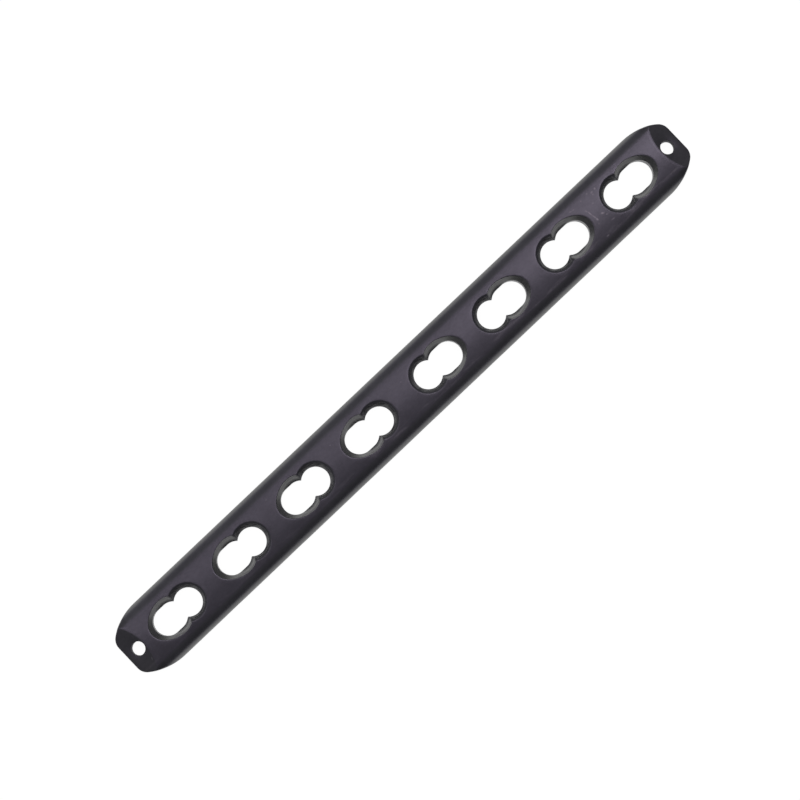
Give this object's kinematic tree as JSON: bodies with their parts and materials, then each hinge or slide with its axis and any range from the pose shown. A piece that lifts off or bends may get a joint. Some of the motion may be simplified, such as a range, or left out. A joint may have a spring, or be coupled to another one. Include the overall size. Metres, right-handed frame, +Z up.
{
  "type": "orthopedic bone plate",
  "caption": "Straight slim metal bone plate with a crowned back, bevelled noses, a row of figure-eight combination screw holes and a small wire hole at each tip",
  "frame": {"origin": "In the middle of the underside, on the plane that the plate lies on.", "axes": "+X runs along the plate, towards the tip at the upper right of the picture; +Y runs across it, towards the picture's upper left; +Z points up out of the crowned back."},
  "size_m": [0.112, 0.0108, 0.0033],
  "materials": {
    "anodised_titanium": "satin dark grey titanium with a faint violet anodised sheen"
  },
  "bodies": {
    "root": {"bone_plate": "anodised_titanium"}
  },
  "joints": []
}
